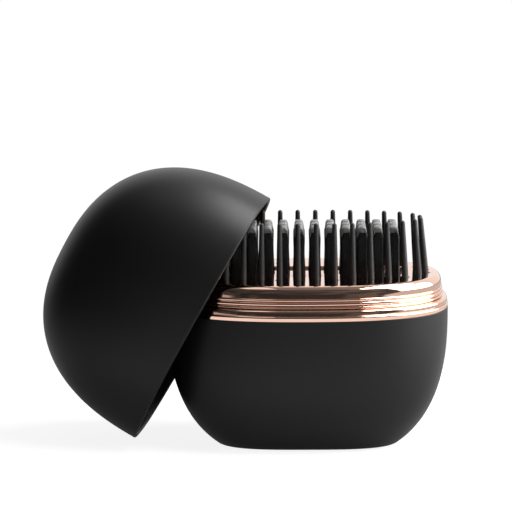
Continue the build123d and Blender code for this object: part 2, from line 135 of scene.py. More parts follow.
def skin(name: str, rows: Sequence[Sequence[Vector]], ends: Ends) -> bpy.types.Mesh:
    """Makes a closed mesh through rows of points, with its normals outwards.

    Args:
        name: name of the mesh
        rows: closed rows of equally many points, in millimetres
        ends: how the skin is closed

    Returns:
        The new mesh, in metres.
    """
    shape = bmesh.new()
    lines = [[shape.verts.new(point * MM) for point in row] for row in rows]
    pairs = list(zip(lines, lines[1:]))
    if ends is Ends.LOOP:
        pairs.append((lines[-1], lines[0]))
    for low, high in pairs:
        for step in range(len(low)):
            after = (step + 1) % len(low)
            shape.faces.new((low[step], low[after], high[after], high[step]))
    for line in (lines[0], lines[-1]):
        if ends is Ends.FLAT:
            shape.faces.new(line)
        elif ends is Ends.POLES:
            pole = shape.verts.new((line[0].co + line[len(line) // 2].co) / 2)
            for step in range(len(line)):
                shape.faces.new((line[step], line[(step + 1) % len(line)], pole))
    bmesh.ops.recalc_face_normals(shape, faces=shape.faces)
    made = bpy.data.meshes.new(name)
    shape.to_mesh(made)
    shape.free()
    return made


def loft(
    name: str,
    rings: Sequence[Ring],
    count: int,
    place: Matrix = Matrix.Identity(4),
    ends: Ends = Ends.POLES,
) -> bpy.types.Mesh:
    """Makes a mesh through rings of count points, moved to a place that is given in millimetres."""
    return skin(name, [[place @ point for point in ring.points(count)] for ring in rings], ends)


def smooth(mesh: bpy.types.Mesh, angle: float = SHARP_ANGLE) -> bpy.types.Mesh:
    """Shades a mesh smooth except over its sharp edges.

    Args:
        mesh: the mesh to change
        angle: edges that turn by more degrees than this stay sharp

    Returns:
        The same mesh.
    """
    mesh.polygons.foreach_set("use_smooth", [True] * len(mesh.polygons))
    mesh.set_sharp_from_angle(angle=math.radians(angle))
    return mesh


def arc(
    start: float,
    stop: float,
    steps: int,
    size: Pair,
    middle: Pair = (0.0, 0.0),
) -> list[Pair]:
    """Points of an elliptical arc in a profile.

    Args:
        start: first angle in degrees
        stop: last angle in degrees
        steps: number of runs
        size: half sizes of the ellipse
        middle: centre of the ellipse

    Returns:
        Profile points, first and last included.
    """
    turns = [math.radians(start + (stop - start) * step / steps) for step in range(steps + 1)]
    return [(middle[0] + size[0] * math.cos(turn), middle[1] + size[1] * math.sin(turn)) for turn in turns]


def piece(name: str, mesh: bpy.types.Mesh) -> bpy.types.Object:
    """Links a new object for a mesh.

    Args:
        name: the piece's name
        mesh: its mesh

    Returns:
        The new object.
    """
    made = bpy.data.objects.new(name, mesh)
    bpy.context.collection.objects.link(made)
    return made


def settle(
    made: bpy.types.Object, body: Body, slot: str, finish: bpy.types.Material, *nodes: str
) -> None:
    """Dresses a finished piece and ties it to the frame.

    Args:
        made: the piece
        body: the body that it rides on
        slot: the record's material slot; not used
        finish: its material
        *nodes: CAD nodes that it stands for
    """
    made.data.materials.clear()
    made.data.materials.append(finish)
    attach(made, body.value)
    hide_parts(*nodes)
    log.info("piece %s with %d faces", made.name, len(made.data.polygons))


def bake(made: bpy.types.Object) -> None:
    """Turns a piece's live modifiers into its mesh.

    Args:
        made: the piece
    """
    bpy.context.view_layer.update()
    graph = bpy.context.evaluated_depsgraph_get()
    result = bpy.data.meshes.new_from_object(made.evaluated_get(graph))
    made.modifiers.clear()
    made.data = result


def carve(made: bpy.types.Object, cutters: Sequence[bpy.types.Object]) -> None:
    """Cuts solids out of a piece, removes them and shades what is left.

    Args:
        made: the piece to cut
        cutters: closed objects
    """
    for cutter in cutters:
        change = made.modifiers.new("cut", "BOOLEAN")
        change.operation = "DIFFERENCE"
        change.solver = "EXACT"
        change.object = cutter
    bake(made)
    for cutter in cutters:
        bpy.data.objects.remove(cutter)
    smooth(made.data)


# Node trees

Value = Union["Link", float, int, tuple]


@dataclass(frozen=True)
class Graph:
    """Makes nodes in a shader or geometry node tree, settings first and then sockets."""

    tree: bpy.types.NodeTree

    @classmethod
    def fresh(cls, owner: Union[bpy.types.Material, bpy.types.World]) -> "Graph":
        """Empties a material's or world's own tree.

        Args:
            owner: the material or world

        Returns:
            The graph of its tree.
        """
        owner.use_nodes = True
        owner.node_tree.nodes.clear()
        return cls(owner.node_tree)

    def node(self, kind: str, settings: Optional[dict] = None, **sockets: Value) -> bpy.types.Node:
        """Adds a node.

        Args:
            kind: the node's type name
            settings: properties of the node
            **sockets: values or links by socket name, with _ for a space, or by index as s0, s1

        Returns:
            The new node.
        """
        made = self.tree.nodes.new(kind)
        for key, value in (settings or {}).items():
            setattr(made, key, value)
        for key, value in sockets.items():
            by_index = key[0] == "s" and key[1:].isdigit()
            socket = made.inputs[int(key[1:]) if by_index else key.replace("_", " ")]
            if isinstance(value, Link):
                self.tree.links.new(value.socket, socket)
            else:
                socket.default_value = (*value, 1.0) if socket.type == "RGBA" else value
        return made

    def out(self, made: bpy.types.Node, name: Union[str, int] = 0) -> "Link":
        """One of a node's outputs as a link for expressions."""
        return Link(self, made.outputs[name])

    def link(
        self, kind: str, settings: Optional[dict] = None, output: Union[str, int] = 0, **sockets: Value
    ) -> "Link":
        """Adds a node, as node() does, and gives one of its outputs."""
        return self.out(self.node(kind, settings, **sockets), output)


@dataclass(frozen=True)
class Link:
    """A node's output that can be used in Python arithmetic.

    Attributes:
        graph: the graph that new nodes go into
        socket: the output socket
    """

    graph: Graph
    socket: bpy.types.NodeSocket

    def math(self, operation: str, *others: Value) -> "Link":
        """Adds a Math node with this as its first input."""
        values = {f"s{index}": value for index, value in enumerate((self, *others))}
        return self.graph.link("ShaderNodeMath", {"operation": operation}, **values)

    def __add__(self, other: Value) -> "Link":
        """Sum."""
        return self.math("ADD", other)

    def __sub__(self, other: Value) -> "Link":
        """Difference."""
        return self.math("SUBTRACT", other)

    def __mul__(self, other: Value) -> "Link":
        """Product."""
        return self.math("MULTIPLY", other)

    def __rsub__(self, other: Value) -> "Link":
        """Difference with a number on the left."""
        return self.graph.link("ShaderNodeMath", {"operation": "SUBTRACT"}, s0=other, s1=self)

    __radd__ = __add__
    __rmul__ = __mul__

    def around(self, middle: float, swing: float) -> "Link":
        """Values round a middle, from this with its range of 0 to 1."""
        return middle + (self - 0.5) * swing

    def ramp(self, low: float, high: float) -> "Link":
        """Smooth step from 0 at low to 1 at high."""
        settings = {"interpolation_type": "SMOOTHSTEP"}
        return self.graph.link("ShaderNodeMapRange", settings, Value=self, From_Min=low, From_Max=high)

    def part(self, axis: str) -> "Link":
        """One coordinate of a vector."""
        return self.graph.link("ShaderNodeSeparateXYZ", None, axis, Vector=self)

    def stretched(self, share: float) -> "Link":
        """Coordinates that make a pattern longer along Z."""
        return self.graph.link("ShaderNodeMapping", Vector=self, Scale=(1.0, 1.0, share))

    def noise(self, size: float, detail: float = 2.0) -> "Link":
        """Noise from 0 to 1 at these coordinates, with patches of about this size in millimetres."""
        scale = 1 / (size * MM)
        return self.graph.link("ShaderNodeTexNoise", None, "Fac", Vector=self, Scale=scale, Detail=detail)

    def blend(self, first: Colour, second: Colour) -> "Link":
        """Colour that goes from the first to the second as this goes from 0 to 1."""
        return self.graph.link("ShaderNodeMix", {"data_type": "RGBA"}, 2, s0=self, s6=first, s7=second)

    def bump(self, strength: float, depth: float) -> "Link":
        """Normal of a surface with this as its height, and the bump's depth in millimetres."""
        return self.graph.link("ShaderNodeBump", Strength=strength, Distance=depth * MM, Height=self)


# Finishes


def shaded(tone: Colour, share: float) -> Colour:
    """A colour brought down to a share of its level."""
    return tuple(share * channel for channel in tone)


class Finish:
    """A material that reads object coordinates."""

    name: str

    def make(self) -> bpy.types.Material:
        """Makes the material.

        Returns:
            The new material.
        """
        material = bpy.data.materials.new(self.name)
        graph = Graph.fresh(material)
        where = graph.link("ShaderNodeTexCoord", None, "Object")
        graph.node("ShaderNodeOutputMaterial", Surface=self.surface(graph, where))
        return material

    def surface(self, graph: Graph, where: Link) -> Link:
        """Shader of the finish at object coordinates in metres."""
        return graph.link("ShaderNodeBsdfPrincipled", **self.dress(where))

    def dress(self, where: Link) -> dict[str, Value]:
        """Values of the shader's sockets at object coordinates, from each finish that uses this shader."""
        raise NotImplementedError


@dataclass(frozen=True)
class SoftTouch(Finish):
    """Matt black moulding with a fine grain and a faint handling sheen."""

    name: str = "soft_touch_black"
    dark: Colour = (0.0088, 0.0090, 0.0095)
    light: Colour = (0.0120, 0.0120, 0.0125)
    roughness: float = 0.44
    cloud_size: float = 22.0
    cloud_swing: float = 0.08
    grain_size: float = 0.35
    grain_swing: float = 0.05
    relief: Pair = (0.10, 0.02)
    specular: float = 0.27

    def dress(self, where: Link) -> dict[str, Value]:
        """Grain, slow tone changes and a slightly uneven sheen.

        Args:
            where: object coordinates

        Returns:
            Values by socket name.
        """
        cloud = where.noise(self.cloud_size, 3.0)
        fine = where.noise(self.grain_size, 1.0)
        return {
            "Base_Color": cloud.blend(self.dark, self.light),
            "Roughness": cloud.around(self.roughness, self.cloud_swing) + fine.around(0.0, self.grain_swing),
            "Normal": fine.bump(*self.relief),
            "Specular_IOR_Level": self.specular,
        }


@dataclass(frozen=True)
class GlossMoulding(Finish):
    """Black moulding with a soft shine and faint flow marks along its height."""

    name: str = "gloss_black"
    dark: Colour = (0.006, 0.006, 0.0065)
    light: Colour = (0.011, 0.011, 0.0115)
    roughness: float = 0.28
    swing: float = 0.16
    mark_size: float = 0.9
    mark_stretch: float = 0.12
    relief: Pair = (0.12, 0.03)
    specular: float = 0.28

    def dress(self, where: Link) -> dict[str, Value]:
        """Shine that varies along upright flow marks.

        Args:
            where: object coordinates

        Returns:
            Values by socket name.
        """
        marks = where.stretched(self.mark_stretch).noise(self.mark_size)
        return {
            "Base_Color": marks.blend(self.dark, self.light),
            "Roughness": marks.around(self.roughness, self.swing),
            "Normal": marks.bump(*self.relief),
            "Specular_IOR_Level": self.specular,
        }


@dataclass(frozen=True)
class TipGrey(Finish):
    """Slightly clear grey silicone with a painted highlight: paler towards its crown as if lit from above,
    darker towards the tooth.
    """

    name: str = "tip_grey"
    # top and foot: pale grey at the crown and dark at the tooth, partly the tip's own grey and partly a
    # painted highlight of the light from above
    top: Colour = (0.14, 0.14, 0.137)
    foot: Colour = (0.02, 0.02, 0.02)
    foot_height: float = 70.3
    top_height: float = 73.2
    roughness: float = 0.42
    swing: float = 0.2
    streak_size: float = 0.8
    streak_stretch: float = 0.2
    streak_reach: float = 1.6
    relief: Pair = (0.2, 0.04)
    clearness: float = 0.7
    glow_radius: Triple = (2.2 * MM, 2.2 * MM, 2.1 * MM)

    def dress(self, where: Link) -> dict[str, Value]:
        """Tone from the foot of the tip to its crown, painted as a highlight of the light from above, with
        soft upright streaks.

        Args:
            where: object coordinates

        Returns:
            Values by socket name.
        """
        streaks = where.stretched(self.streak_stretch).noise(self.streak_size)
        height = where.part("Z") + streaks.around(0.0, self.streak_reach * MM)
        # painted highlight: the tip turns paler with height, standing in for light falling from above
        painted_top_light = height.ramp(self.foot_height * MM, self.top_height * MM)
        return {
            "Base_Color": painted_top_light.blend(self.foot, self.top),
            "Roughness": streaks.around(self.roughness, self.swing),
            "Normal": streaks.bump(*self.relief),
            "Subsurface_Weight": self.clearness,
            "Subsurface_Radius": self.glow_radius,
            "Subsurface_Scale": 1.0,
        }


@dataclass(frozen=True)
class RosePlate(Finish):
    """Polished rose-gold plating with faint ripples and tone changes."""

    name: str = "rose_plate"
    deep: Colour = (0.86, 0.53, 0.41)
    pale: Colour = (0.93, 0.66, 0.54)
    roughness: float = 0.055
    swing: float = 0.05
    ripple_size: float = 16.0
    polish_size: float = 1.4
    polish_share: float = 0.15
    relief: Pair = (0.25, 0.12)

    def dress(self, where: Link) -> dict[str, Value]:
        """Metal tone, polish marks and slow ripples.

        Args:
            where: object coordinates

        Returns:
            Values by socket name.
        """
        slow = where.noise(self.ripple_size)
        fine = where.noise(self.polish_size)
        return {
            "Base_Color": slow.blend(self.deep, self.pale),
            "Roughness": fine.around(self.roughness, self.swing),
            "Normal": (slow + fine * self.polish_share).bump(*self.relief),
            "Metallic": 1.0,
        }


@dataclass(frozen=True)
class Stock(Finish):
    """Plain material of an inner or small piece: slightly uneven tone and polish."""

    name: str
    tone: Colour
    roughness: float = 0.5
    metal: float = 0.0
    grain_size: float = 1.2
    shade: float = 0.8
    swing: float = 0.12
    relief: Pair = (0.1, 0.02)

    def dress(self, where: Link) -> dict[str, Value]:
        """Patches of a darker tone and another polish.

        Args:
            where: object coordinates

        Returns:
            Values by socket name.
        """
        patches = where.noise(self.grain_size)
        return {
            "Base_Color": patches.blend(shaded(self.tone, self.shade), self.tone),
            "Roughness": patches.around(self.roughness, self.swing),
            "Normal": patches.bump(*self.relief),
            "Metallic": self.metal,
        }


@dataclass(frozen=True)
class ClearGuide(Finish):
    """Clear moulding of the light guide, faintly milky."""

    name: str = "clear_guide"
    tone: Colour = (0.75, 0.78, 0.80)
    shade: float = 0.7
    milk_size: float = 0.6
    roughness: float = 0.12
    swing: float = 0.1
    clearness: float = 0.35

    def dress(self, where: Link) -> dict[str, Value]:
        """Milky tone with a shiny face.

        Args:
            where: object coordinates

        Returns:
            Values by socket name.
        """
        milk = where.noise(self.milk_size)
        return {
            "Base_Color": milk.blend(shaded(self.tone, self.shade), self.tone),
            "Roughness": self.roughness + milk * self.swing,
            "Transmission_Weight": self.clearness,
        }


# Geometry node trees


class Repeater:
    """Geometry node tree that stands copies of a pattern piece at points."""

    def __init__(self, name: str, sizes: Sequence[str], counts: Sequence[str]) -> None:
        """Starts a tree with its sizes as named inputs.

        Args:
            name: name of the tree
            sizes: names of the inputs that are lengths
            counts: names of the inputs that are whole numbers
        """
        tree = bpy.data.node_groups.new(name, "GeometryNodeTree")
        kinds = {"Geometry": "Geometry", **dict.fromkeys(sizes, "Float"), **dict.fromkeys(counts, "Int")}
        kinds |= {"Pattern": "Object", "Material": "Material"}
        self.known: dict[str, str] = {}
        for key, kind in kinds.items():
            socket = tree.interface.new_socket(key, in_out="INPUT", socket_type=f"NodeSocket{kind}")
            self.known[key] = socket.identifier
        tree.interface.new_socket("Geometry", in_out="OUTPUT", socket_type="NodeSocketGeometry")
        self.tree = tree
        self.graph = Graph(tree)
        self.inputs = self.graph.node("NodeGroupInput")

    def given(self, name: str) -> Link:
        """One of the tree's inputs."""
        return self.graph.out(self.inputs, name)

    def stand(self, points: Link, **sockets: Value) -> None:
        """Ends the tree: copies at the points, made real geometry with the material.

        Args:
            points: where the copies stand
            **sockets: further sockets of the node that stands them
        """
        pattern = self.graph.link("GeometryNodeObjectInfo", None, "Geometry", Object=self.given("Pattern"))
        copies = self.graph.link("GeometryNodeInstanceOnPoints", Points=points, Instance=pattern, **sockets)
        real = self.graph.link("GeometryNodeRealizeInstances", s0=copies)
        dressed = self.graph.link("GeometryNodeSetMaterial", s0=real, Material=self.given("Material"))
        self.graph.node("NodeGroupOutput", s0=dressed)

    def run(
        self, name: str, seed: bpy.types.Mesh, pattern: bpy.types.Mesh, **values: object
    ) -> bpy.types.Object:
        """Runs the tree on a mesh and keeps the plain result.

        Args:
            name: name of the piece
            seed: mesh that the tree starts from
            pattern: mesh of one copy
            **values: the tree's other inputs by name, with _ for a space

        Returns:
            The finished piece.
        """
        one = piece("pattern", pattern)
        made = piece(name, seed)
        change = made.modifiers.new("repeat", "NODES")
        change.node_group = self.tree
        for key, value in {"Pattern": one, **values}.items():
            change[self.known[key.replace("_", " ")]] = value
        bake(made)
        bpy.data.objects.remove(one)
        return made


def grid_repeater() -> Repeater:
    """Tree that stands copies of a pattern on a flat grid.

    Returns:
        The tree.
    """
    tree = Repeater("stand_on_grid", ("Pitch X", "Pitch Y"), ("Columns", "Rows"))
    columns, rows = tree.given("Columns"), tree.given("Rows")
    tree.stand(tree.graph.link(
        "GeometryNodeMeshGrid",
        Size_X=(columns - 1) * tree.given("Pitch X"),
        Size_Y=(rows - 1) * tree.given("Pitch Y"),
        Vertices_X=columns,
        Vertices_Y=rows,
    ))
    return tree


def ring_repeater() -> Repeater:
    """Tree that stands copies evenly round a closed outline, half a gap from its start, leaning inwards.

    Returns:
        The tree.
    """
    tree = Repeater("stand_round_outline", ("Lean", "Rise"), ("Count",))
    graph = tree.graph
    outline = graph.link("GeometryNodeMeshToCurve", s0=tree.given("Geometry"))
    spaced = graph.link("GeometryNodeResampleCurve", Curve=outline, Count=tree.given("Count") * 2)
    between = graph.link("GeometryNodeInputIndex").math("MODULO", 2)
    run = graph.link("GeometryNodeInputTangent")
    inward = graph.link("ShaderNodeVectorMath", {"operation": "CROSS_PRODUCT"}, s0=(0.0, 0.0, 1.0), s1=run)
    leaned = graph.link("ShaderNodeVectorMath", {"operation": "SCALE"}, s0=inward, Scale=tree.given("Lean"))
    upright = graph.link("ShaderNodeCombineXYZ", Z=tree.given("Rise"))
    way = graph.link("ShaderNodeVectorMath", {"operation": "ADD"}, s0=leaned, s1=upright)
    turn = graph.link("FunctionNodeAlignRotationToVector", {"axis": "Z"}, Vector=way)
    tree.stand(spaced, Selection=between, Rotation=turn)
    return tree


GRID = grid_repeater()
RING = ring_repeater()


# The egg


@dataclass(frozen=True)
class Egg:
    """Shape that the shell and collar share, in millimetres."""

    rim: Oval = Oval(47.8, 33.4, 2.45)
    rim_height: float = 46.1
    foot_power: float = 3.3
    full_depth: float = 53.0
    side_power: float = 2.64
    count: int = 192

    def side(self, half: float, depth: float, inset: float = 0.0) -> float:
        """Half size of the lower egg at a depth under the rim, from its half size at the rim."""
        share = 1 - (depth / (self.full_depth - inset)) ** self.side_power
        return (half - inset) * share ** (1 / self.side_power)

    def power_at(self, depth: float) -> float:
        """Plan power at a depth under the rim."""
        return self.rim.power + (self.foot_power - self.rim.power) * (depth / self.rim_height) ** 2


@dataclass(frozen=True)
class LowerShell:
    """Black lower half of the egg, with its rear openings.

    Attributes:
        foot_radius: round between the side and the flat foot
        pad: recess for the foot pad
        button_hole: height and radius
        light_holes: height, radius and spacing
        light_sides: points round each of them
        socket_hole: height, width and thickness
        search: how the foot's round is found: parts of the side, the first one tried, and rounds
    """

    egg: Egg
    foot_height: float = 0.4
    foot_radius: float = 2.3
    wall: float = 2.0
    floor: float = 3.4
    pad: Oval = Oval(25.15, 15.65, 2.45)
    pad_recess: float = 1.2
    levels: int = 56
    inner_levels: int = 24
    button_hole: Pair = (31.0, 5.3)
    light_holes: Triple = (40.3, 0.95, 5.0)
    light_sides: int = 32
    socket_hole: Triple = (17.0, 9.64, 3.96)
    search: tuple[int, int, int] = (400, 300, 40)

    def side_down(self, half: float, depth: float, levels: int, inset: float = 0.0) -> list[Pair]:
        """Half size and height at even levels of the side, from the rim down to a depth."""
        depths = [depth * level / levels for level in range(levels + 1)]
        return [(self.egg.side(half, deep, inset), self.egg.rim_height - deep) for deep in depths]

    def foot_curve(self, half: float) -> list[Pair]:
        """Profile of the side and its rounded foot edge for one half size.

        Args:
            half: half size at the rim

        Returns:
            Half size and height of each level, from the rim down.
        """
        radius = self.foot_radius
        parts, first, rounds = self.search
        low = self.egg.rim_height - self.foot_height
        up = self.foot_height + radius
        side = self.side_down(half, low, parts)
        reach = self.egg.side(half, low)
        for _ in range(rounds):
            nearest = min(math.dist(spot, (reach - radius, up)) for spot in side[first:])
            reach -= 0.5 * (radius - nearest)
        centre = reach - radius
        best = min(range(first, parts + 1), key=lambda part: math.dist(side[part], (centre, up)))
        curve = self.side_down(half, low * best / parts, self.levels)
        touch = math.degrees(math.atan2(curve[-1][1] - up, curve[-1][0] - centre))
        return curve + arc(touch, -90, 8, (radius, radius), (centre, up))[1:]

    def rings_through(self, *profiles: list[Pair]) -> list[Ring]:
        """Rings through the profiles of the long and of the short side.

        Args:
            *profiles: half size and height of each level, for the two sides

        Returns:
            The rings in the profiles' order.
        """
        rings = []
        for (across, height), (away, other) in zip(*profiles):
            middle = (height + other) / 2
            rings.append(Ring(middle, across, away, self.egg.power_at(self.egg.rim_height - middle)))
        return rings

    def rings(self) -> list[Ring]:
        """Rings from the bottom of the outside up to the rim and down the inside.

        Returns:
            The rings in order.
        """
        halves = (self.egg.rim.half_width, self.egg.rim.half_depth)
        outer = self.rings_through(*(self.foot_curve(half) for half in halves))
        outer[-1] = replace(outer[-1], height=self.foot_height)
        outer += [self.pad.ring(height) for height in (self.foot_height, self.pad_recess)]
        inside = (self.egg.rim_height - self.floor, self.inner_levels, self.wall)
        inner = self.rings_through(*(self.side_down(half, *inside) for half in halves))
        return [*reversed(outer), *inner]

    def build(self) -> bpy.types.Object:
        """Makes the shell with its rear openings.

        Returns:
            The piece.
        """
        made = piece("shell_lower", loft("shell_lower", self.rings(), self.egg.count))
        cutters = [rear_peg("button_cut", 0.0, *self.button_hole)]
        height, radius, spacing = self.light_holes
        for side in (-1, 0, 1):
            name = f"light_cut_{side + 1}"
            cutters.append(rear_peg(name, side * spacing, height, radius, self.light_sides))
        rows = [slot_outline(*self.socket_hole, depth) for depth in REAR_CUT]
        cutters.append(piece("socket_cut", skin("socket_cut", rows, Ends.FLAT)))
        carve(made, cutters)
        return made


def rear_place(side: float, height: float) -> Matrix:
    """Turns a piece's own axis to the back and moves it to a place on the rear wall."""
    return Matrix.Translation((side, 0, height)) @ Matrix.Rotation(math.radians(-90), 4, "X")


def rear_peg(name: str, side: float, height: float, radius: float, count: int = 64) -> bpy.types.Object:
    """Round bar that passes through the rear wall."""
    rings = [disc(depth, radius) for depth in REAR_CUT]
    return piece(name, loft(name, rings, count, rear_place(side, height)))


def slot_outline(
    height: float, width: float, thickness: float, depth: float, count: int = 12
) -> list[Vector]:
    """Outline of a slot with round ends in the rear wall.

    Args:
        height: its middle along Z
        width: its whole width
        thickness: its thickness
        depth: where it lies along Y
        count: runs on each round end

    Returns:
        The points, in millimetres.
    """
    radius = thickness / 2
    points = []
    for end in (1, -1):
        for across, up in arc(-90, 90, count, (radius, radius)):
            points.append(Vector((end * (width / 2 - radius + across), depth, height + end * up)))
    return points


@dataclass(frozen=True)
class Collar:
    """Plated collar: flange, waist band, three beads, drum, shoulder and deck with its holes.

    Attributes:
        flange: height of its edge, how far its foot is drawn in, and the power of that curve
        flange_top: rise and drop of the round over the edge
        flange_levels: levels under and over the edge
        waist: height over the rim and inset of the waist band's levels
        waist_round: radius and turn of the band's upper edge
        beads: height over the rim, half height and inset of each bead's peak
        edge: break of the drum's lower edge
        opening: the deck's opening, and opening_edge the break of its edge
        deck_flat: start of the deck's flat part, from the shoulder
        spigot: height and inset of the part inside the shell
    """

    egg: Egg
    deck_height: float = 57.5
    deck_thickness: float = 1.6
    deck_flat: float = 0.8
    flange: Triple = (1.25, 0.24, 1.3)
    flange_top: Pair = (0.5, 0.3)
    flange_levels: tuple[int, int] = (6, 4)
    waist: Levels = ((1.8, 0.62), (1.93, 0.62), (1.97, 0.36), (2.05, 0.3), (2.85, 0.3))
    waist_round: Pair = (0.9, 84)
    neck: float = 2.4
    neck_start: float = 3.8
    beads: Levels = ((4.33, 0.5, 1.8), (5.55, 0.66, 1.85), (6.87, 0.46, 1.95))
    drum_start: float = 7.35
    drum_inset: float = 2.3
    edge: float = 0.08
    shoulder: float = 2.6
    cavity: float = 4.0
    spigot: Pair = (41.5, 2.2)
    opening: Oval = Oval(32.6, 10.9, 12.0)
    opening_edge: float = 0.15

    def profile(self) -> list[Pair]:
        """Height above the rim and inset of each level of the outside, from the rim up.

        Returns:
            The levels.
        """
        edge, foot, power = self.flange
        rise, drop = self.flange_top
        low, high = self.flange_levels
        levels = [(edge * (1 - part / low), foot * (part / low) ** power) for part in range(low, -1, -1)]
        levels += [(edge + rise * part / high, drop * (part / high) ** 2) for part in range(1, high + 1)]
        levels += self.waist
        top, inset = self.waist[-1]
        radius, turn = self.waist_round
        levels += [(top + up, inset + radius - out) for out, up in arc(0, turn, 8, (radius, radius))][1:]
        levels.append((self.neck_start, self.neck))
        for middle, half, peak in self.beads:
            bead = arc(-90, 90, 10, (self.neck - peak, half))
            levels += [(middle + up, self.neck - out) for out, up in bead]
        start, inset = self.drum_start, self.drum_inset
        drum_top = self.deck_height - self.egg.rim_height - self.shoulder
        levels += [(start, inset + self.edge), (start + self.edge, inset), ((drum_top + start) / 2, inset)]
        for out, up in arc(0, 90, 16, (self.shoulder, self.shoulder)):
            levels.append((drum_top + up, inset + self.shoulder - out))
        return levels

    def rings(self) -> list[Ring]:
        """Rings round the collar's wall, from the rim up, over the deck and down the inside.

        Returns:
            The rings in order.
        """
        rim, base, deck = self.egg.rim, self.egg.rim_height, self.deck_height
        below = deck - self.deck_thickness
        foot, inset = self.spigot
        return [
            *(rim.ring(base + height, inwards) for height, inwards in self.profile()),
            rim.ring(deck, self.drum_inset + self.shoulder + self.deck_flat),
            self.opening.ring(deck, -self.opening_edge),
            self.opening.ring(deck - self.opening_edge),
            self.opening.ring(below),
            rim.ring(below, self.cavity),
            rim.ring(foot, self.cavity),
            rim.ring(foot, inset),
            rim.ring(base, inset),
        ]

    def build(self, holes: bpy.types.Object) -> bpy.types.Object:
        """Makes the collar and cuts the pin holes.

        Args:
            holes: bars where the pins pass the deck

        Returns:
            The piece.
        """
        mesh = loft("collar_plated", self.rings(), self.egg.count, ends=Ends.LOOP)
        made = piece("collar_plated", mesh)
        carve(made, [holes])
        return made


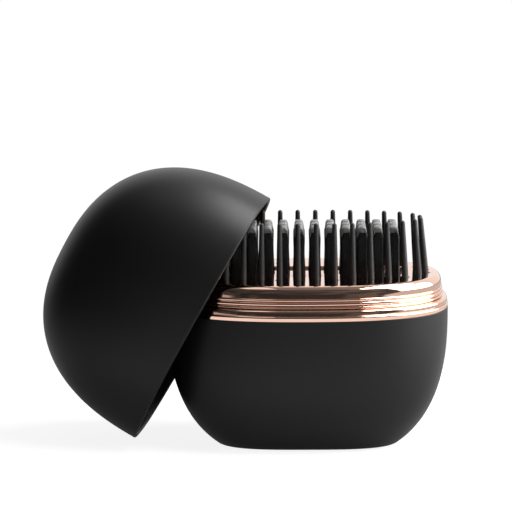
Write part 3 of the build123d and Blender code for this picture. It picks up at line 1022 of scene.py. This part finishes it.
@dataclass(frozen=True)
class CombField:
    """Comb plate, heated teeth with their tips, and the ring of guard pins.

    Attributes:
        plate_sides: points round the plate, as the other fields with sides give them for their pieces
        plate_heights: the plate's bottom, the top of its rim, and its top
        plate_edge: depth and inset of each level of its top edge
        tooth_levels: height and half width of a tooth's levels, from its foot up
        core_levels: the same for the core that its tip clasps
        core_inset: how much shorter the core is than the tooth at each end
        tip_levels: height and half width of the tip's outside
        tip_core_levels: height and half width of the space in it
        tip_sections: place along Y, drop of the roof and inset of the sides, up to the middle
        tip_sharp: angle in degrees over which a tip's edges stay sharp
        pin_ring: outline that the pins stand on
        pin_radii: radius at the foot and at the tip
        hole: radius of the pin holes, and where their cut starts and ends from the pins' foot
    """

    plate: Oval = Oval(32.3, 10.6, 12.0)
    plate_sides: int = 192
    plate_heights: Triple = (54.0, 55.9, 57.2)
    plate_rim: float = 1.0
    plate_edge: Levels = ((0.2, 0.0), (0.06, 0.06), (0.0, 0.2))
    columns: int = 12
    rows: int = 3
    pitch: Pair = (5.29, 7.0)
    tooth_half_depth: float = 2.8
    tooth_power: float = 6.0
    tooth_sides: int = 36
    tooth_levels: Levels = (
        (57.0, 2.2), (57.35, 2.16), (59.0, 2.08), (61.5, 1.97), (64.5, 1.88),
        (67.0, 1.9), (69.3, 1.97), (70.3, 1.98), (70.5, 1.93),
    )
    core_levels: Levels = ((70.5, 1.5), (71.3, 1.31), (71.95, 1.15), (72.15, 0.95))
    core_inset: float = 0.35
    core_power: float = 7.0
    tip_levels: Levels = (
        (70.55, 1.96), (70.75, 1.88), (71.4, 1.7), (72.6, 1.56), (73.5, 1.42), (73.95, 1.15), (74.18, 0.75),
    )
    tip_core_levels: Levels = ((70.55, 1.52), (71.3, 1.33), (71.95, 1.17), (72.2, 0.95))
    tip_neck: float = 71.4
    tip_sharp: float = 50
    tip_sections: Levels = ((-2.5, 0.8, 0.12), (-2.38, 0.42, 0.05), (-2.05, 0.14, 0.0), (-1.5, 0.0, 0.0))
    pin_count: int = 32
    pin_ring: Oval = Oval(40.4, 18.0, 2.45)
    pin_foot: float = 55.9
    pin_top: float = 76.5
    pin_lean: float = 1.86
    pin_radii: Pair = (1.15, 0.8)
    pin_belly: float = 0.02
    pin_sides: int = 20
    hole: Triple = (1.55, -2.0, 4.0)
    hole_sides: int = 28
    outline_points: int = 360

    def build_plate(self) -> bpy.types.Object:
        """The plate with its rim under the deck.

        Returns:
            The piece.
        """
        bottom, ledge, top = self.plate_heights
        rings = [self.plate.ring(height, -self.plate_rim) for height in (bottom, ledge)]
        rings.append(self.plate.ring(ledge))
        rings += [self.plate.ring(top - down, inset) for down, inset in self.plate_edge]
        return piece("comb_plate_polished", smooth(loft("comb_plate_polished", rings, self.plate_sides)))

    def tooth_mesh(self) -> bpy.types.Mesh:
        """One waisted tooth with its core.

        Returns:
            The mesh.
        """
        depth = self.tooth_half_depth
        core = depth - self.core_inset
        rings = [Ring(height, half, depth, self.tooth_power) for height, half in self.tooth_levels]
        rings += [Ring(height, half, core, self.core_power) for height, half in self.core_levels]
        return smooth(loft("tooth_pattern", rings, self.tooth_sides))

    def tip_mesh(self) -> bpy.types.Mesh:
        """One tip: an arch over the tooth's core, open at the front and back.

        Returns:
            The mesh.
        """
        outer = [(half, height) for height, half in self.tip_levels]
        inner = [(half, height) for height, half in self.tip_core_levels]
        outline = outer + [(-half, height) for half, height in reversed(outer)]
        outline += [(-half, height) for half, height in inner]
        outline += reversed(inner)
        outside = 2 * len(outer)
        low, high = self.tip_neck, self.tip_levels[-1][0]
        far_half = [(-away, drop, slim) for away, drop, slim in reversed(self.tip_sections)]
        rows = []
        for away, drop, slim in [*self.tip_sections, *far_half]:
            row = []
            for index, (across, height) in enumerate(outline):
                if index < outside:
                    across = math.copysign(abs(across) - slim, across)
                    height -= drop * max(0.0, (height - low) / (high - low))
                row.append(Vector((across, away, height)))
            rows.append(row)
        return smooth(skin("tip_pattern", rows, Ends.FLAT), self.tip_sharp)

    def pin_mesh(self) -> bpy.types.Mesh:
        """One tapered pin with a round end, standing at its own foot.

        Returns:
            The mesh.
        """
        foot, tip = self.pin_radii
        length = self.pin_top - self.pin_foot
        rings = [disc(0.0, foot), disc(length / 2, (foot + tip) / 2 + self.pin_belly)]
        rings += [disc(length - tip + up, out) for out, up in arc(0, 80, 6, (tip, tip))]
        return smooth(loft("pin_pattern", rings, self.pin_sides))

    def outline(self, height: float) -> bpy.types.Mesh:
        """Closed line that the pins stand on, at a height.

        Args:
            height: height of the line

        Returns:
            A mesh of edges.
        """
        points = [tuple(point * MM) for point in self.pin_ring.ring(height).points(self.outline_points)]
        made = bpy.data.meshes.new("pin_outline")
        made.from_pydata(points, [(step, (step + 1) % len(points)) for step in range(len(points))], [])
        return made

    def stand_teeth(
        self, name: str, pattern: bpy.types.Mesh, finish: bpy.types.Material
    ) -> bpy.types.Object:
        """Repeats a pattern over the field.

        Args:
            name: name of the piece
            pattern: mesh of one tooth or tip
            finish: its material

        Returns:
            The piece.
        """
        return GRID.run(
            name,
            bpy.data.meshes.new(name),
            pattern,
            Pitch_X=self.pitch[0] * MM,
            Pitch_Y=self.pitch[1] * MM,
            Columns=self.columns,
            Rows=self.rows,
            Material=finish,
        )

    def stand_ring(
        self, name: str, pattern: bpy.types.Mesh, lean: float, finish: bpy.types.Material
    ) -> bpy.types.Object:
        """Repeats a pattern round the outline.

        Args:
            name: name of the piece
            pattern: mesh of one pin or bar
            lean: how far each copy leans inwards over its rise
            finish: its material

        Returns:
            The piece.
        """
        return RING.run(
            name,
            self.outline(self.pin_foot),
            pattern,
            Count=self.pin_count,
            Lean=lean,
            Rise=self.pin_top - self.pin_foot,
            Material=finish,
        )

    def build_holes(self, finish: bpy.types.Material) -> bpy.types.Object:
        """Bars that cut the pin holes, as one object with any finish."""
        rings = [disc(height, self.hole[0]) for height in self.hole[1:]]
        return self.stand_ring("pin_holes", loft("hole_bar", rings, self.hole_sides), 0.0, finish)


@dataclass(frozen=True)
class Cap:
    """Lift-off black half of the egg, leaning on the brush, with its inner lining.

    Attributes:
        lip: height of the rounded lip
        dome_start: start of the dome over the lip
        middle: middle of the mouth
        yaw: turn of the mouth's long axis, in degrees, as tilt and roll are
    """

    mouth: Oval = Oval(47.0, 32.8, 2.45)
    depth: float = 53.8
    side_power: float = 2.46
    wall: float = 1.5
    lip: float = 0.5
    dome_start: float = 0.4
    lining_start: float = 9.0
    lining_gap: float = 0.2
    lining_wall: float = 0.8
    middle: Triple = (-35.5, 0.8, 41.2124)
    yaw: float = -8.3
    tilt: float = 61.0
    roll: float = 1.0
    count: int = 192
    levels: int = 44

    def place(self) -> Matrix:
        """Turns and moves the cap from its own axes to where it leans.

        Returns:
            The matrix, in millimetres.
        """
        yaw, tilt, roll = (math.radians(turn) for turn in (self.yaw, self.tilt, self.roll))
        run = Vector((math.cos(tilt) * math.cos(yaw), math.cos(tilt) * math.sin(yaw), math.sin(tilt)))
        side = Vector((-math.sin(yaw), math.cos(yaw), 0))
        dome = run.cross(side) * math.cos(roll) - side * math.sin(roll)
        turned = Matrix((run, dome.cross(run), dome)).transposed().to_4x4()
        return Matrix.Translation(self.middle) @ turned

    def dome(self, inset: float, start: float) -> list[Ring]:
        """Rings of the dome from a depth to its top.

        Args:
            inset: how far the surface is drawn in
            start: depth where it starts

        Returns:
            The rings.
        """
        deep = self.depth - inset
        power = 2 / self.side_power
        first = math.asin((start / deep) ** (1 / power))
        turns = [first + (math.pi / 2 - first) * level / self.levels for level in range(self.levels)]
        mouth = self.mouth
        return [mouth.ring(deep * math.sin(turn) ** power, inset, math.cos(turn) ** power) for turn in turns]

    def build(self, name: str, rings: Sequence[Ring]) -> bpy.types.Object:
        """Makes a piece through rings where the cap leans."""
        return piece(name, smooth(loft(name, rings, self.count, self.place())))

    def build_shell(self) -> bpy.types.Object:
        """The cap with its rounded lip.

        Returns:
            The piece.
        """
        half = self.wall / 2
        lip = [self.mouth.ring(self.lip - up, half - out) for out, up in arc(180, 0, 8, (half, self.lip))]
        inside, outside = (self.dome(inset, self.lip + self.dome_start) for inset in (self.wall, 0.0))
        return self.build("cap_outer", [*reversed(inside), *lip, *outside])

    def build_lining(self) -> bpy.types.Object:
        """The inner skin with its square step near the lip.

        Returns:
            The piece.
        """
        inset = self.wall + self.lining_gap
        inside, outside = (self.dome(inset + wall, self.lining_start) for wall in (self.lining_wall, 0.0))
        return self.build("cap_inner_skin", [*reversed(inside), *outside])


@dataclass(frozen=True)
class RearControls:
    """Power button, status lights and charging socket in the rear wall.

    Attributes:
        flange: back, front and radius of the flange behind the wall
        nub: end and radius of the nub on the flange's back
        dish: depth of the finger dish
        dish_margin: width of the face round the dish
        dish_levels: levels of the dish, from its edge to its middle
        light_faces: where the three rods end along Y
        light_bar: back and front of the bar behind the rods, and bar_outline its outline
        rod_edge: depth from the face and inset of each level of a rod's edge
        sides: points round the button, a rod and the bar
        socket: width, thickness and wall
        socket_run: back and front of the socket
        socket_edge: outer and inner break of its mouth
        socket_back: thickness of its back wall
    """

    button_height: float = 31.0
    button_radius: float = 5.0
    button_front: float = 33.9
    button_round: float = 0.8
    flange: Triple = (28.8, 29.8, 6.4)
    flange_edge: float = 0.15
    nub: Pair = (28.1, 1.75)
    dish: float = 0.35
    dish_margin: float = 0.9
    dish_levels: int = 9
    light_height: float = 40.3
    light_spacing: float = 5.0
    light_radius: float = 0.9
    light_faces: Triple = (33.30, 33.36, 33.30)
    light_bar: Pair = (24.9, 27.1)
    bar_outline: Oval = Oval(7.0, 1.5, 8.0)
    rod_edge: Levels = ((0.15, 0.0), (0.04, 0.06), (0.0, 0.25))
    sides: tuple[int, int, int] = (96, 32, 48)
    socket_height: float = 17.0
    socket: Triple = (8.94, 3.26, 0.35)
    socket_run: Pair = (23.6, 29.9)
    socket_edge: Pair = (0.12, 0.1)
    socket_back: float = 1.0

    def build_button(self) -> bpy.types.Object:
        """Round button with a soft edge and a shallow finger dish.

        Returns:
            The piece.
        """
        back, face, wide = self.flange
        start, nub = self.nub
        front, radius, edge = self.button_front, self.button_radius, self.flange_edge
        levels = [
            (start, nub), (back, nub), (back, wide - edge), (back + edge, wide),
            (face - edge, wide), (face, wide - edge), (face, radius),
        ]
        inner = self.button_round
        levels += [(front - inner + up, radius - inner + out) for out, up in arc(0, 90, 8, (inner, inner))]
        for step in range(1, self.dish_levels):
            share = 1 - step / self.dish_levels
            levels.append((front - self.dish * (1 - share ** 2), (radius - self.dish_margin) * share))
        rings = [disc(*level) for level in levels]
        mesh = loft("button_round", rings, self.sides[0], rear_place(0.0, self.button_height))
        return piece("button_round", smooth(mesh))

    def build_lights(self) -> bpy.types.Object:
        """Clear bar with three rods that end flush with the wall.

        Returns:
            The piece.
        """
        shape = bmesh.new()
        meshes = []
        for side, face in zip((-1, 0, 1), self.light_faces):
            levels = [(face - down, self.light_radius - inset) for down, inset in self.rod_edge]
            rings = [disc(*level) for level in [(self.light_bar[1], self.light_radius), *levels]]
            place = rear_place(side * self.light_spacing, self.light_height)
            meshes.append(loft("light_rod", rings, self.sides[1], place))
        bar = [self.bar_outline.ring(depth) for depth in self.light_bar]
        meshes.append(loft("light_bar", bar, self.sides[2], rear_place(0.0, self.light_height)))
        for mesh in meshes:
            shape.from_mesh(mesh)
            bpy.data.meshes.remove(mesh)
        made = bpy.data.meshes.new("light_rods")
        shape.to_mesh(made)
        shape.free()
        return piece("light_rods", smooth(made))

    def build_socket(self) -> bpy.types.Object:
        """Drawn metal tube of the charging socket, closed at its back.

        Returns:
            The piece.
        """
        width, thickness, wall = self.socket
        start, stop = self.socket_run
        outer, inner = self.socket_edge
        rows = []
        for narrower, depth in (
            (0.0, start), (0.0, stop - outer), (2 * outer, stop),
            (2 * wall - inner, stop), (2 * wall, stop - inner), (2 * wall, start + self.socket_back),
        ):
            rows.append(slot_outline(self.socket_height, width - narrower, thickness - narrower, depth))
        return piece("socket_tube", smooth(skin("socket_tube", rows, Ends.FLAT)))


@dataclass(frozen=True)
class FootPad:
    """Rubber oval that the brush stands on, with a rounded edge.

    Attributes:
        flat_shares: sizes of the rings on its flat underside, as shares of its own
    """

    outline: Oval = Oval(25.0, 15.5, 2.45)
    flat_shares: Pair = (0.5, 0.9)
    thickness: float = 1.2
    edge: float = 0.25
    count: int = 128

    def build(self) -> bpy.types.Object:
        """Makes the pad.

        Returns:
            The piece.
        """
        rings = [self.outline.ring(0.0, share=share) for share in self.flat_shares]
        for out, up in arc(-90, 0, 4, (self.edge, self.edge)):
            rings.append(self.outline.ring(self.edge + up, self.edge - out))
        rings.append(self.outline.ring(self.thickness))
        return piece("pad_rubber", smooth(loft("pad_rubber", rings, self.count)))


# Inner pieces that keep their CAD shape

INNER_FINISHES = (
    (
        Stock("screw_steel", (0.50, 0.50, 0.51), 0.35, 1.0),
        ("case_screws", "frame_screws", "shield_screws", "heater_screws"),
    ),
    (Stock("cell_sleeve", (0.10, 0.24, 0.40), 0.35), ("battery_cells",)),
    (Stock("holder_grey", (0.16, 0.16, 0.17), 0.5), ("battery_holder", "inner_frame", "heater_frame")),
    (Stock("shield_sheet", (0.70, 0.70, 0.69), 0.4, 1.0), ("heat_shield", "heater_clamp")),
    (Stock("board_green", (0.02, 0.12, 0.05), 0.4), ("control_board",)),
    (
        Stock("chip_black", (0.02, 0.02, 0.02), 0.5),
        ("board_chips", "usb_tongue", "tact_switch", "switch_plunger", "thermistor"),
    ),
    (Stock("rubber_black", (0.02, 0.02, 0.02), 0.7), ("seal_ring",)),
    (Stock("lamp_white", (0.75, 0.75, 0.70), 0.4), ("status_leds",)),
    (Stock("carrier_black", (0.015, 0.015, 0.015), 0.45), ("pin_carrier",)),
    (Stock("heater_ceramic", (0.28, 0.26, 0.24), 0.45, 0.6), ("ptc_heaters",)),
    (Stock("fuse_steel", (0.55, 0.55, 0.56), 0.3, 1.0), ("thermal_fuse",)),
)


def dress_inner() -> None:
    """Gives every CAD node that keeps its shape its material."""
    for finish, nodes in INNER_FINISHES:
        material = finish.make()
        for node in nodes:
            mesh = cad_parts[node].data
            if mesh.materials:
                for index in range(len(mesh.materials)):
                    mesh.materials[index] = material
            else:
                mesh.materials.append(material)
            log.info("inner piece %s dressed with %s", node, material.name)


# Studio


@dataclass(frozen=True)
class Camera:
    """Camera at the photograph's viewing angle, with its target and distance in millimetres."""

    target: Triple = (-17.29, 0.0, 62.9)
    distance: float = 800.0
    elevation: float = 9.13
    azimuth: float = -0.975
    roll: float = -0.419
    lens: float = 165.45
    sensor: float = 36.0
    clip: Pair = (0.05, 20.0)

    def build(self) -> None:
        """Makes the camera and sets it as the scene's."""
        turns = (self.azimuth, self.elevation, self.roll)
        azimuth, elevation, roll = (math.radians(turn) for turn in turns)
        along = math.cos(elevation)
        ahead = Vector((math.sin(azimuth) * along, math.cos(azimuth) * along, -math.sin(elevation)))
        level = Vector((math.cos(azimuth), -math.sin(azimuth), 0))
        above = level.cross(ahead)
        right = level * math.cos(roll) + above * math.sin(roll)
        up = above * math.cos(roll) - level * math.sin(roll)
        data = bpy.data.cameras.new("camera")
        data.lens, data.sensor_width, data.sensor_fit = self.lens, self.sensor, "HORIZONTAL"
        data.clip_start, data.clip_end = self.clip
        made = bpy.data.objects.new("camera", data)
        spot = Vector(self.target) - ahead * self.distance
        made.matrix_world = Matrix.Translation(spot * MM) @ Matrix((right, up, -ahead)).transposed().to_4x4()
        bpy.context.collection.objects.link(made)
        bpy.context.scene.camera = made


@dataclass(frozen=True)
class Lamp:
    """Soft rectangular studio lamp, in metres and watts."""

    name: str
    spot: Triple
    aim: Triple
    width: float
    height: float
    power: float

    def build(self) -> None:
        """Makes the lamp."""
        data = bpy.data.lights.new(self.name, "AREA")
        data.shape, data.size, data.size_y, data.energy = "RECTANGLE", self.width, self.height, self.power
        made = bpy.data.objects.new(self.name, data)
        made.location = self.spot
        made.rotation_euler = (Vector(self.aim) - Vector(self.spot)).to_track_quat("-Z", "Y").to_euler()
        bpy.context.collection.objects.link(made)


@dataclass(frozen=True)
class CardCloth(Finish):
    """Cloth of a studio card: dark, with slow paler patches."""

    name: str
    tone: float
    pale: float
    patch_size: float = 90.0
    patch_edge: Pair = (0.42, 0.62)
    roughness: float = 0.9

    def dress(self, where: Link) -> dict[str, Value]:
        """Slow paler patches.

        Args:
            where: object coordinates

        Returns:
            Values by socket name.
        """
        patches = where.noise(self.patch_size, 1.0).ramp(*self.patch_edge)
        return {
            "Base_Color": patches.blend(shaded(WHITE, self.tone), shaded(WHITE, self.pale)),
            "Roughness": self.roughness,
        }


@dataclass(frozen=True)
class Card:
    """Dark upright card for reflections that the camera doesn't see, with its outline across and up."""

    name: str
    spot: Triple
    facing: float
    outline: Levels
    tone: float = 0.01
    pale: float = 0.01

    def build(self) -> None:
        """Makes the card from the outline of its face."""
        mesh = bpy.data.meshes.new(self.name)
        face = tuple(range(len(self.outline)))
        mesh.from_pydata([(across, 0, up) for across, up in self.outline], [], [face])
        made = piece(self.name, mesh)
        made.location = self.spot
        made.rotation_euler = (0, 0, math.radians(self.facing))
        made.visible_camera = False
        mesh.materials.append(CardCloth(f"{self.name}_cloth", self.tone, self.pale).make())


@dataclass(frozen=True)
class FloorPaper(Finish):
    """Pale paper, white to the camera with the object's shadow kept, and pale in front in reflections.

    Attributes:
        tone: its own colour, and its paler fibres' colour
        fibre: size and share of the fibres
        gain: how much brighter its shade is in the camera's rays
        glow: strength of its white
        lift: share of white in the camera's rays near the object
        reach: distance over which that share goes on to 1
        shine: share of white in reflections
        front_shine: the same in front of the object
        front_start: distance in front over which that begins
        front_side: distance at the sides over which it ends
    """

    name: str = "floor_white"
    tone: tuple[Colour, Colour] = (shaded(WHITE, 0.35), shaded(WHITE, 0.6))
    fibre: Pair = (3.0, 0.2)
    gain: float = 5.0
    glow: float = 1.02
    lift: float = 0.86
    reach: Pair = (0.10, 0.17)
    shine: float = 0.20
    front_shine: float = 1.0
    front_start: Pair = (0.045, 0.065)
    front_side: Pair = (0.10, 0.16)

    def surface(self, graph: Graph, where: Link) -> Link:
        """Plain paper mixed with white by the kind of ray.

        Args:
            graph: the material's graph
            where: object coordinates, in metres

        Returns:
            The shader.
        """
        paths = graph.node("ShaderNodeLightPath")
        seen, mirrored = graph.out(paths, "Is Camera Ray"), graph.out(paths, "Is Glossy Ray")
        size, amount = self.fibre
        tone = (where.noise(size) * amount).blend(*self.tone)
        gain = seen * (self.gain - 1) + 1
        shade = graph.link("ShaderNodeVectorMath", {"operation": "SCALE"}, s0=tone, Scale=gain)
        plain = graph.link("ShaderNodeBsdfDiffuse", Color=shade)
        white = graph.link("ShaderNodeEmission", Color=WHITE, Strength=self.glow)
        away = graph.link("ShaderNodeVectorMath", {"operation": "LENGTH"}, "Value", s0=where)
        lift = self.lift + away.ramp(*self.reach) * (1 - self.lift)
        ahead = (0 - where.part("Y")).ramp(*self.front_start)
        front = ahead * (1 - where.part("X").math("ABSOLUTE").ramp(*self.front_side))
        shine = self.shine + front * (self.front_shine - self.shine)
        return graph.link("ShaderNodeMixShader", s0=seen * lift + mirrored * shine, s1=plain, s2=white)


FRONT_CARD = ((-0.42, 0.0), (0.40, 0.0), (0.36, 0.12), (0.18, 0.6), (-0.42, 0.6))
LEFT_CARD = ((-0.2, 0.0), (0.2, 0.0), (0.2, 0.5), (-0.2, 0.5))


@dataclass(frozen=True)
class Studio:
    """White room: pale floor, soft lamps, dark cards and a world that is dark on the near side.

    Attributes:
        floor_size: side of the square floor, in metres
        behind: share of the way back at which the bright far side begins and is full
        behind_lean: how much further round it reaches at the right
        right: the same as behind, for the bright right end
        above: the same for the dim glow overhead
        above_light: strength of that glow
        near_light: strength of the dark near side
        plain_light: strength of the whole room as a light, against how it mirrors
    """

    floor_size: float = 4.0
    behind: Pair = (0.3, 0.55)
    behind_lean: float = 0.25
    right: Pair = (0.68, 0.8)
    above: Pair = (0.78, 0.95)
    above_light: float = 0.17
    near_light: float = 0.05
    plain_light: float = 0.5
    lamps: tuple[Lamp, ...] = (
        Lamp("lamp_top", (0.46, 0.0, 0.95), (0.34, 0.0, 0.05), 0.80, 0.35, 14.0),
        Lamp("lamp_top_dim", (-0.22, -0.03, 0.95), (-0.20, -0.03, 0.05), 0.56, 0.22, 0.30),
        Lamp("lamp_right", (0.26, -0.04, 0.17), (0.0, -0.04, 0.12), 0.30, 0.24, 1.4),
    )
    cards: tuple[Card, ...] = (
        Card("card_front", (0.0, -0.26, 0.0), 0.0, FRONT_CARD, 0.008, 0.06),
        Card("card_left", (-0.40, -0.10, 0.0), 60.0, LEFT_CARD),
    )

    def build(self) -> None:
        """Makes the floor, world, lamps and cards, and sets how the picture is shown."""
        self.build_floor()
        self.build_world()
        for item in (*self.lamps, *self.cards):
            item.build()
        bpy.context.scene.view_settings.view_transform = "Standard"

    def build_floor(self) -> None:
        """Makes the floor."""
        half = self.floor_size / 2
        mesh = bpy.data.meshes.new("floor")
        corners = [(-half, -half, 0), (half, -half, 0), (half, half, 0), (-half, half, 0)]
        mesh.from_pydata(corners, [], [(0, 1, 2, 3)])
        floor = piece("floor", mesh)
        mesh.materials.append(FloorPaper().make())

    def build_world(self) -> None:
        """Makes the room light: bright behind, dim overhead, dark on the near side, white to the camera."""
        world = bpy.data.worlds.new("room")
        bpy.context.scene.world = world
        graph = Graph.fresh(world)
        way = graph.link("ShaderNodeTexCoord", None, "Generated")
        along = way.part("X")
        behind = (way.part("Y") + along * self.behind_lean).ramp(*self.behind)
        above = way.part("Z").ramp(*self.above) * self.above_light
        bright = behind.math("MAXIMUM", along.ramp(*self.right)).math("MAXIMUM", above)
        level = bright * (1 - self.near_light) + self.near_light
        paths = graph.node("ShaderNodeLightPath")
        seen = graph.out(paths, "Is Camera Ray")
        mirrored = graph.out(paths, "Is Glossy Ray").math("MAXIMUM", graph.out(paths, "Is Transmission Ray"))
        lit = level * self.plain_light
        shown = lit + (level - lit) * mirrored
        glow = graph.link("ShaderNodeBackground", Color=WHITE, Strength=shown * (1 - seen) + seen)
        graph.node("ShaderNodeOutputWorld", Surface=glow)


def main() -> None:
    """Makes every piece in order."""
    logging.basicConfig(level=logging.INFO, format="%(message)s")
    black = SoftTouch().make()
    gloss = GlossMoulding().make()
    rose = RosePlate().make()
    inner_black = SoftTouch("satin_black", (0.010, 0.010, 0.0105), (0.014, 0.014, 0.0145), 0.38).make()
    pin_black = GlossMoulding("pin_black", (0.018, 0.018, 0.0185), (0.03, 0.03, 0.031), 0.45).make()
    tip_grey = TipGrey().make()
    steel = Stock("socket_steel", (0.55, 0.55, 0.56), 0.3, 1.0).make()
    rubber = Stock("pad_rubber", (0.018, 0.018, 0.018), 0.75, 0.0, 0.6).make()

    egg = Egg()
    settle(LowerShell(egg).build(), Body.BASE, "shell_black", black, "lower_shell")
    comb = CombField()
    settle(Collar(egg).build(comb.build_holes(rose)), Body.BASE, "rose_gold", rose, "collar")
    settle(comb.build_plate(), Body.BASE, "rose_gold_metal", rose, "comb_plate")
    teeth = comb.stand_teeth("teeth_black", comb.tooth_mesh(), gloss)
    settle(teeth, Body.BASE, "tooth_black", gloss, "heating_teeth")
    tips = comb.stand_teeth("tips_grey", comb.tip_mesh(), tip_grey)
    settle(tips, Body.BASE, "clip_grey", tip_grey, "tooth_tips")
    pins = comb.stand_ring("pins_black", comb.pin_mesh(), comb.pin_lean, pin_black)
    settle(pins, Body.BASE, "pin_black", pin_black, "guard_pins")

    cap = Cap()
    settle(cap.build_shell(), Body.CAP, "shell_black", black, "cap_shell")
    settle(cap.build_lining(), Body.CAP, "lining_dark", inner_black, "cap_lining")

    rear = RearControls()
    settle(rear.build_button(), Body.BUTTON, "button_black", gloss, "power_button")
    settle(rear.build_lights(), Body.BASE, "light_clear", ClearGuide().make(), "light_guide")
    settle(rear.build_socket(), Body.BASE, "socket_steel", steel, "usb_socket")
    settle(FootPad().build(), Body.BASE, "rubber_black", rubber, "foot_pad")
    dress_inner()

    Camera().build()
    Studio().build()


if __name__ == "__main__":
    main()
